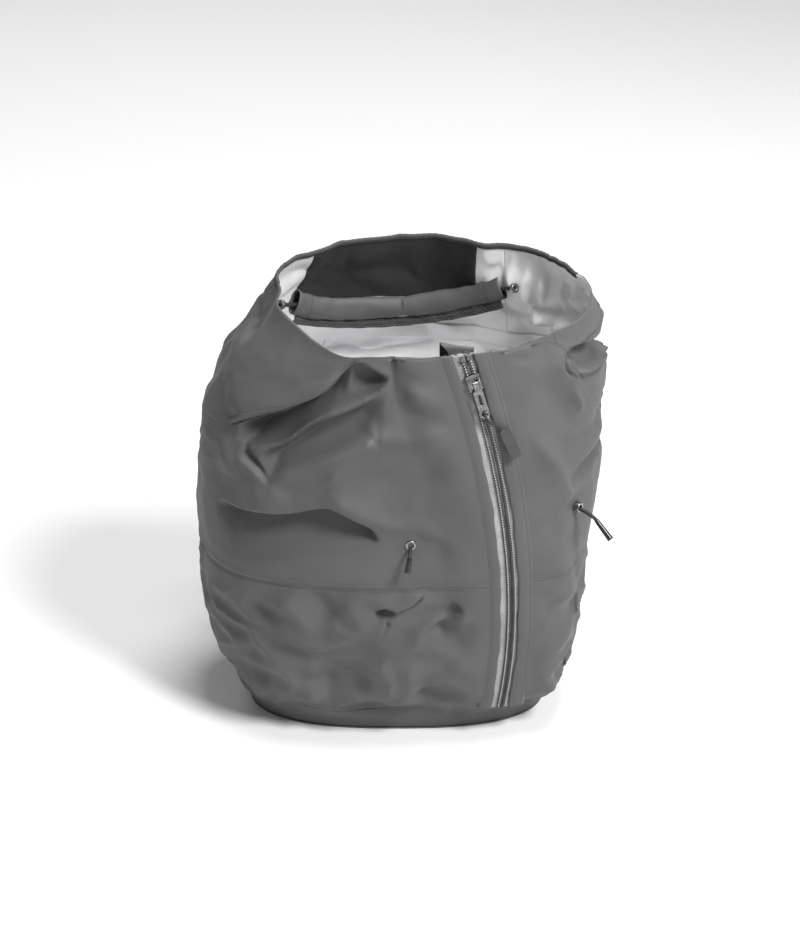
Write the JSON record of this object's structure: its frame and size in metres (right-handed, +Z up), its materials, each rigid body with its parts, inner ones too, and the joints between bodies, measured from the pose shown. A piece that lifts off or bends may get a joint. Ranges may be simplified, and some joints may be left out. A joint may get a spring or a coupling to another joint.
{
  "type": "hardshell jacket",
  "caption": "Hooded waterproof shell jacket, folded and bundled upright with its hood open at the top, a curved front zip, cord pulls, cuffs and hem folded up the back.",
  "frame": {"origin": "middle of the base fold, on the surface the bundle stands on", "axes": "+Z up through the hood opening, -Y out of the zipped front, +X towards the side of the zip"},
  "size_m": [0.2773, 0.1973, 0.3366],
  "materials": {
    "shell_fabric": "fine matte weave",
    "dark_lining": "brushed tricot grid",
    "dark_binding": "ribbed binding",
    "seam_tape": "smooth, slightly glossy",
    "zip_tape": "coated satin",
    "zip_coil": "satin coil",
    "gunmetal": "satin gunmetal",
    "eyelet_metal": "satin",
    "black_cord": "braided",
    "black_rubber": "semi gloss",
    "moulded_grey": "matte moulded",
    "black_plastic": "fine spark texture",
    "spring_steel": "bright"
  },
  "bodies": {
    "jacket": {"back_panel": "shell_fabric", "base_fold": "shell_fabric", "brim_binding": "dark_binding", "brim_lining": "dark_lining", "chest_panel_left": "shell_fabric", "chest_panel_right": "shell_fabric", "cuff_left": "shell_fabric", "cuff_loop_patches": "dark_lining", "cuff_right": "shell_fabric", "face_cord_eyelets": "eyelet_metal", "folded_inner_body": "shell_fabric", "halo_cord": "black_cord", "halo_eyelets": "eyelet_metal", "halo_tunnel": "shell_fabric", "halo_tunnel_base": "dark_binding", "hem_band_left": "shell_fabric", "hem_band_right": "shell_fabric", "hem_lock_left": "black_plastic", "hem_lock_right": "black_plastic", "hem_lock_spring_left": "spring_steel", "hem_lock_spring_right": "spring_steel", "hood_centre_panel": "shell_fabric", "hood_seam_tape": "seam_tape", "hood_side_left": "shell_fabric", "hood_side_right": "shell_fabric", "lower_body_left": "shell_fabric", "lower_body_right": "shell_fabric", "lower_front_left": "shell_fabric", "lower_front_right": "shell_fabric", "pocket_zip_coils": "zip_coil", "pocket_zip_tapes": "zip_tape", "sleeve_left": "shell_fabric", "sleeve_right": "shell_fabric", "zip_box": "black_plastic", "zip_coil_left": "zip_coil", "zip_coil_right": "zip_coil", "zip_facing_left": "shell_fabric", "zip_facing_right": "shell_fabric", "zip_garage": "shell_fabric", "zip_pin": "black_plastic", "zip_tape_left": "zip_tape", "zip_tape_right": "zip_tape", "zip_top_stops": "gunmetal"},
    "zip_slider_body": {"zip_slider": "gunmetal"},
    "zip_puller_body": {"zip_puller": "gunmetal"},
    "pull_tab_body": {"pull_cord_loop": "black_cord", "pull_tab": "moulded_grey"},
    "face_pull_left": {"face_cord_left": "black_cord", "face_cord_end_left": "black_rubber"},
    "face_pull_right": {"face_cord_right": "black_cord", "face_cord_end_right": "black_rubber"},
    "cuff_hook_left": {"cuff_tab_left": "moulded_grey"},
    "cuff_hook_right": {"cuff_tab_right": "moulded_grey"},
    "hem_button_left": {"hem_lock_button_left": "black_plastic"},
    "hem_button_right": {"hem_lock_button_right": "black_plastic"},
    "hem_loop_left": {"hem_cord_left": "black_cord"},
    "hem_loop_right": {"hem_cord_right": "black_cord"},
    "pocket_slider_body": {"pocket_slider": "gunmetal"},
    "pocket_puller_body": {"pocket_puller": "gunmetal"}
  },
  "joints": [
    {"name": "front_zip", "type": "hinge", "parent": "jacket", "child": "zip_slider_body", "pos_m": [-0.3578, 0.19877, 0.14155], "axis": [0.5541, 0.8243, 0.1163], "range_deg": [-0.9, 22.3]},
    {"name": "zip_puller_swing", "type": "hinge", "parent": "zip_slider_body", "child": "zip_puller_body", "pos_m": [0.04711, -0.09867, 0.28731], "axis": [-0.9319, -0.2388, -0.2731], "range_deg": [0, 120]},
    {"name": "pull_tab_swing", "type": "hinge", "parent": "zip_puller_body", "child": "pull_tab_body", "pos_m": [0.05397, -0.10016, 0.2652], "axis": [-0.9319, -0.2388, -0.2731], "range_deg": [0, 60]},
    {"name": "face_cord_left_pull", "type": "slide", "parent": "jacket", "child": "face_pull_left", "axis": [0.03, -0.9996, 0], "range_m": [0, 0.018]},
    {"name": "face_cord_right_pull", "type": "slide", "parent": "jacket", "child": "face_pull_right", "axis": [0.8, -0.6, 0], "range_m": [0, 0.018]},
    {"name": "cuff_tab_left_peel", "type": "hinge", "parent": "jacket", "child": "cuff_hook_left", "pos_m": [-0.073, 0.0757, 0.239], "axis": [0, 0, 1], "range_deg": [0, 100]},
    {"name": "cuff_tab_right_peel", "type": "hinge", "parent": "jacket", "child": "cuff_hook_right", "pos_m": [0.073, 0.0757, 0.239], "axis": [0, 0, -1], "range_deg": [0, 100]},
    {"name": "hem_button_left_press", "type": "slide", "parent": "jacket", "child": "hem_button_left", "axis": [0, 0, -1], "range_m": [0, 0.003], "stiffness_N_per_m": 300, "springref_m": -0.001, "deforming": ["hem_lock_spring_left"]},
    {"name": "hem_button_right_press", "type": "slide", "parent": "jacket", "child": "hem_button_right", "axis": [0, 0, -1], "range_m": [0, 0.003], "stiffness_N_per_m": 300, "springref_m": -0.001, "deforming": ["hem_lock_spring_right"]},
    {"name": "hem_cord_left_pull", "type": "slide", "parent": "jacket", "child": "hem_loop_left", "axis": [-1, 0, 0], "range_m": [0, 0.02]},
    {"name": "hem_cord_right_pull", "type": "slide", "parent": "jacket", "child": "hem_loop_right", "axis": [1, 0, 0], "range_m": [0, 0.02]},
    {"name": "pocket_zip", "type": "slide", "parent": "jacket", "child": "pocket_slider_body", "axis": [0.1258, 0, -0.9921], "range_m": [-0.003, 0.105]},
    {"name": "pocket_puller_swing", "type": "hinge", "parent": "pocket_slider_body", "child": "pocket_puller_body", "pos_m": [-0.05087, 0.08858, 0.17307], "axis": [0.9921, 0, 0.1258], "range_deg": [0, 120]}
  ]
}
